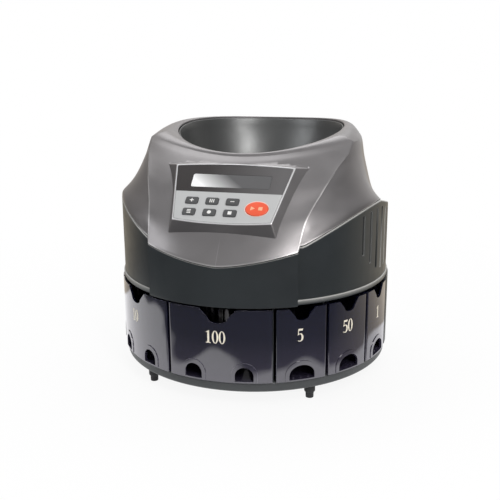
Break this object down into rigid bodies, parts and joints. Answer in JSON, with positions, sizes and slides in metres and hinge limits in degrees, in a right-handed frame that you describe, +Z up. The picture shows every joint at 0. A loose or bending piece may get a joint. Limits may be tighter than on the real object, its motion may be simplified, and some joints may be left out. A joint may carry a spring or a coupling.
{
  "type": "coin sorting machine",
  "caption": "Round counter-top coin sorting machine: hopper bowl over a spinning disc, sloping control panel, and wedge-shaped coin drawers round the base.",
  "frame": {"origin": "on the machine's axis, on the plane that the feet stand on", "axes": "+Z up; the control panel and the widest drawer face -Y; +X is the machine's right seen from the front"},
  "size_m": [0.3196, 0.326, 0.2822],
  "materials": {
    "housing_metallic": "warm silver metallic paint on moulded plastic",
    "skirt_charcoal": "satin charcoal moulded plastic",
    "base_grey": "satin mid grey moulded plastic",
    "foot_rubber": "matt black rubber",
    "drawer_smoke": "glossy smoke-blue plastic",
    "bowl_metallic": "dark silver metallic paint on moulded plastic",
    "overlay_print": "printed polyester film, silver grey and black",
    "window_clear": "clear window over a grey display",
    "key_grey": "satin dark grey",
    "key_red": "satin orange red",
    "black_plastic": "satin black",
    "board_green": "green solder mask",
    "steel": "brushed",
    "cast_alloy": "cast",
    "belt_black": "matt"
  },
  "bodies": {
    "root": {"base_tray": "base_grey", "bearing_housing": "cast_alloy", "bearing_spacer": "cast_alloy", "coin_sensor_1": "black_plastic", "coin_sensor_10": "black_plastic", "coin_sensor_100": "black_plastic", "coin_sensor_5": "black_plastic", "coin_sensor_50": "black_plastic", "coin_sensor_500": "black_plastic", "control_overlay": "overlay_print", "core_ring": "base_grey", "deck_screw_1": "steel", "deck_screw_2": "steel", "deck_screw_3": "steel", "deck_screw_4": "steel", "drive_belt": "belt_black", "drive_motor": "cast_alloy", "foot_1": "foot_rubber", "foot_2": "foot_rubber", "foot_3": "foot_rubber", "foot_4": "foot_rubber", "hopper_bowl": "bowl_metallic", "keypad_board": "board_green", "lcd_module": "black_plastic", "lcd_window": "window_clear", "lower_bearing": "steel", "lower_housing": "skirt_charcoal", "main_board": "board_green", "motor_bracket": "steel", "power_inlet": "black_plastic", "power_supply": "black_plastic", "rear_cover": "base_grey", "sorting_deck": "base_grey", "sorting_rail": "steel", "switch_frame": "black_plastic", "upper_bearing": "steel", "upper_housing": "housing_metallic"},
    "disc": {"sorting_disc": "steel", "feed_cone": "black_plastic", "disc_shaft": "steel", "disc_pulley": "black_plastic"},
    "motor_rotor": {"motor_shaft": "steel", "motor_pulley": "black_plastic"},
    "rocker": {"switch_rocker": "black_plastic"},
    "drawer_100_body": {"drawer_100": "drawer_smoke"},
    "drawer_5_body": {"drawer_5": "drawer_smoke"},
    "drawer_50_body": {"drawer_50": "drawer_smoke"},
    "drawer_1_body": {"drawer_1": "drawer_smoke"},
    "drawer_10_body": {"drawer_10": "drawer_smoke"},
    "drawer_500_body": {"drawer_500": "drawer_smoke"},
    "key_plus_body": {"key_plus": "key_grey"},
    "key_batch_body": {"key_batch": "key_grey"},
    "key_minus_body": {"key_minus": "key_grey"},
    "key_report_body": {"key_report": "key_grey"},
    "key_set_body": {"key_set": "key_grey"},
    "key_clear_body": {"key_clear": "key_grey"},
    "key_start_stop_body": {"key_start_stop": "key_red"}
  },
  "joints": [
    {"name": "drawer_100_slide", "type": "slide", "parent": "root", "child": "drawer_100_body", "axis": [0, -1, 0], "range_m": [0, 0.08]},
    {"name": "drawer_5_slide", "type": "slide", "parent": "root", "child": "drawer_5_body", "axis": [0.5358, -0.8443, 0], "range_m": [0, 0.08]},
    {"name": "drawer_50_slide", "type": "slide", "parent": "root", "child": "drawer_50_body", "axis": [0.809, -0.5878, 0], "range_m": [0, 0.08]},
    {"name": "drawer_1_slide", "type": "slide", "parent": "root", "child": "drawer_1_body", "axis": [0.9686, -0.2487, 0], "range_m": [0, 0.08]},
    {"name": "drawer_10_slide", "type": "slide", "parent": "root", "child": "drawer_10_body", "axis": [-0.6845, -0.729, 0], "range_m": [0, 0.08]},
    {"name": "drawer_500_slide", "type": "slide", "parent": "root", "child": "drawer_500_body", "axis": [-0.9686, -0.2487, 0], "range_m": [0, 0.08]},
    {"name": "key_plus_press", "type": "slide", "parent": "root", "child": "key_plus_body", "axis": [0, 0.6614, -0.7501], "range_m": [0, 0.0006], "stiffness_N_per_m": 600},
    {"name": "key_batch_press", "type": "slide", "parent": "root", "child": "key_batch_body", "axis": [0, 0.6614, -0.7501], "range_m": [0, 0.0006], "stiffness_N_per_m": 600},
    {"name": "key_minus_press", "type": "slide", "parent": "root", "child": "key_minus_body", "axis": [0, 0.6614, -0.7501], "range_m": [0, 0.0006], "stiffness_N_per_m": 600},
    {"name": "key_report_press", "type": "slide", "parent": "root", "child": "key_report_body", "axis": [0, 0.6614, -0.7501], "range_m": [0, 0.0006], "stiffness_N_per_m": 600},
    {"name": "key_set_press", "type": "slide", "parent": "root", "child": "key_set_body", "axis": [0, 0.6614, -0.7501], "range_m": [0, 0.0006], "stiffness_N_per_m": 600},
    {"name": "key_clear_press", "type": "slide", "parent": "root", "child": "key_clear_body", "axis": [0, 0.6614, -0.7501], "range_m": [0, 0.0006], "stiffness_N_per_m": 600},
    {"name": "key_start_stop_press", "type": "slide", "parent": "root", "child": "key_start_stop_body", "axis": [0, 0.6614, -0.7501], "range_m": [0, 0.0006], "stiffness_N_per_m": 600},
    {"name": "rocker_tilt", "type": "hinge", "parent": "root", "child": "rocker", "pos_m": [-0.0251, 0.15326, 0.058], "axis": [0.9869, 0.1616, 0], "range_deg": [0, 18]},
    {"name": "disc_spin", "type": "hinge", "parent": "root", "child": "disc", "pos_m": [0, 0, 0.119], "axis": [0, 0, 1], "continuous": true},
    {"name": "motor_spin", "type": "hinge", "parent": "root", "child": "motor_rotor", "pos_m": [0, 0.036, 0.091], "axis": [0, 0, 1], "continuous": true}
  ],
  "couplings": [
    {"joint": "motor_spin", "follows": "disc_spin", "ratio": 2}
  ]
}
